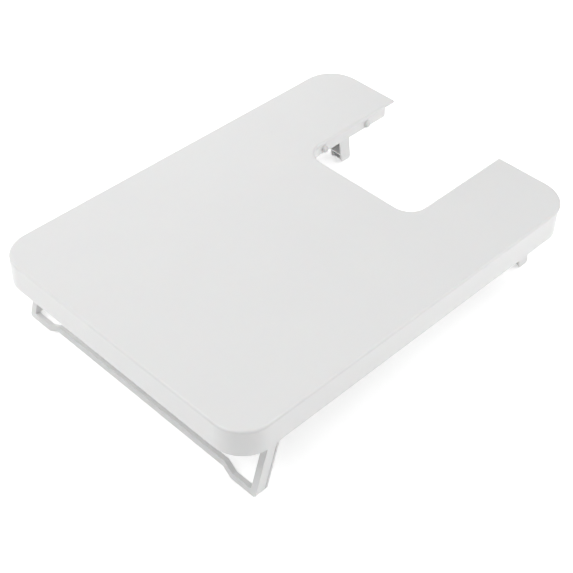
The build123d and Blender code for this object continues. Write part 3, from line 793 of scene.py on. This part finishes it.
# %% Ejector marks and the gate stub
RIB_PITCH_X = 47.0
RIB_PITCH_Y = 46.0
PLATE = 2.5
BUFFER_FROM_NOTCH_FLOOR = 19
MARK_CLEARANCE = 12
NOTCH_REACH_Y = 75
HINGES_FROM_Y = 90
LEFT_HINGES_TO_X = -110
RIGHT_HINGES_FROM_X = 130
ceiling = model_high.z - PLATE * MM
notch_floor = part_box("notch_bumper_inner_front")[0].x - BUFFER_FROM_NOTCH_FLOOR * MM
MARK = [(-0.05, 4.2), (0.14, 4.2), (0.18, 4.12), (0.18, 3.75), (0.12, 3.65), (0.12, 0.1)]
mark = turned((0, 0, 0), (0, 0, -1), MARK, 36)
marks = []
for column in range(-4, 4):
    for row in (-2.5, -1.5, -0.5, 0.5, 1.5, 2.5):
        x = (column + 0.5) * RIB_PITCH_X * MM
        y = row * RIB_PITCH_Y * MM
        in_notch = x > notch_floor - MARK_CLEARANCE * MM and abs(y) < NOTCH_REACH_Y * MM
        at_hinge_end = x < LEFT_HINGES_TO_X * MM or x > RIGHT_HINGES_FROM_X * MM
        by_hinge = abs(y) > HINGES_FROM_Y * MM and at_hinge_end
        if in_notch or by_hinge or (column + int(row + 2.5)) % 2:
            continue
        marks.append(copied(mark, Matrix.Translation((x, y, ceiling))))
bpy.data.objects.remove(mark)
for spot in marks:
    only(spot)
    bpy.ops.object.transform_apply(location=True, rotation=True, scale=True)
count = len(marks)
settle(joined(marks), "ejector_marks", "top_plastic", "table")

gate_place = (-RIB_PITCH_X / 2 * MM, RIB_PITCH_Y / 2 * MM, ceiling)
GATE = [(-0.05, 3.4), (0.2, 3.2), (0.4, 2.2), (0.9, 1.9), (1.1, 1.7), (0.95, 1.1), (1.15, 0.5), (1.0, 0.1)]
gate = turned(gate_place, (0, 0, -1), GATE, 24)
settle(gate, "gate_stub", "top_plastic", "table")
print("ejector marks:", count, "and one gate stub")

# %% [markdown]
# ## Floor and light
#
# A white thing on a white floor is all about the light. One panel overhead would flatten it, and small
# bright ones would burn out the sides that face them. So there are several large, dim panels: most of the
# power is overhead and the rest at the sides. No panel stands off the near left corner, so that its round
# goes a shade darker and reads as round. The paper glows a little, as paper on a light table does, which
# keeps the shadows thin.

# %% Floor and light
FLOOR_SIDE = 12
GLOW_NEAR = [0.37, 0.37, 0.37]
GLOW_FAR = [0.96, 0.96, 0.96]
clear_bench()
bpy.ops.mesh.primitive_plane_add(size=FLOOR_SIDE, location=(0, 0, 0))
floor = bpy.context.object
floor.name = "studio_floor"
paper = Finish("studio_paper")
far = paper.node("VectorMath", {"operation": "LENGTH"}, {0: paper.place}, "Value").above(0.9, 1.3)
paper.set(Base_Color=paper.between(paper.noise(0.8), [0.93, 0.93, 0.93], [0.94, 0.94, 0.94]), Roughness=0.9)
paper.set(Emission_Color=paper.between(far, GLOW_NEAR, GLOW_FAR), Emission_Strength=1.0)
floor.data.materials.append(paper.material)

scene = bpy.context.scene
scene.view_settings.view_transform = "Standard"
scene.world = bpy.data.worlds.new("studio")
scene.world.use_nodes = True
room = scene.world.node_tree
seen = room.nodes.new("ShaderNodeLightPath")
room.links.new(seen.outputs["Is Camera Ray"], room.nodes["Background"].inputs["Strength"])
room.nodes["Background"].inputs["Color"].default_value = (0.97, 0.97, 0.97, 1)


TABLE_MIDDLE = (0, 0, 0.06)
PANEL_DISTANCE = 1.9
OVERHEAD = (1.4, 1.4)
SMALL_OVERHEAD = (0.9, 0.9)
STANDING = (1.4, 1.1)
STRIP_LIGHT = (2.2, 0.66)
SMALL_STRIP = (0.7, 0.45)


def panel(name, place, size, power, aim=TABLE_MIDDLE):
    """A soft panel, bright on the side that faces aim. It isn't seen itself."""
    light = bpy.data.lights.new(name, "AREA")
    light.shape = "RECTANGLE"
    light.size, light.size_y = size
    light.energy = power
    lamp = bpy.data.objects.new(name, light)
    scene.collection.objects.link(lamp)
    lamp.location = place
    lamp.visible_camera = False
    facing = Vector(aim) - Vector(place)
    lamp.rotation_euler = facing.to_track_quat("-Z", "Y").to_euler()
    print(name, "at", [round(c, 2) for c in place], power, "W")


def around(angle, height):
    """A place round the table, the angle in degrees from +X towards +Y."""
    return PANEL_DISTANCE * cos(radians(angle)), PANEL_DISTANCE * sin(radians(angle)), height


panel("panel_over_left", (-0.8, 0.45, 1.5), OVERHEAD, 22.6)
panel("panel_over_right", (0.85, -0.55, 1.3), SMALL_OVERHEAD, 5.0)
panel("panel_over_front", (0.5, -0.9, 1.5), OVERHEAD, 11.4)
panel("panel_back_right", around(60, 0.75), STANDING, 6.8)
panel("panel_back_left", around(120, 0.75), STANDING, 5.8)
panel("panel_low_back", around(60, 0.35), STRIP_LIGHT, 5.8)
panel("panel_low_right", around(330, 0.35), STRIP_LIGHT, 4.8)
panel("panel_near_front", (0.45, -0.95, 0.3), SMALL_STRIP, 1.1, aim=(0.08, -0.1, 0.06))

# %% [markdown]
# ## Camera
#
# The camera stands off the near left corner and looks down on the table, so that the top, the left and
# front sides of the tray and the legs show. The lens is long, which keeps the far end nearly as large as
# the near one.

# %% Camera
CAMERA_PLACE = (-0.59074, -0.56136, 0.75468)
CAMERA_TURN = (47.602, -1.102, -45.140)
SENSOR_WIDTH = 36.0
LENS = 81.70
camera = bpy.data.objects.new("camera", bpy.data.cameras.new("camera"))
scene.collection.objects.link(camera)
scene.camera = camera
camera.location = CAMERA_PLACE
camera.rotation_euler = Euler([radians(angle) for angle in CAMERA_TURN])
camera.data.sensor_width = SENSOR_WIDTH
camera.data.lens = LENS
camera.data.clip_start = 0.01
camera.data.clip_end = 50
print("camera", tuple(camera.location), "lens", camera.data.lens)

# %% [markdown]
# ## Last look
#
# The table's box from its model is printed. The looks may not make the table larger than its model.

# %% Print the model's box
print("CAD box", [round(side / MM, 2) for side in model_high - model_low])
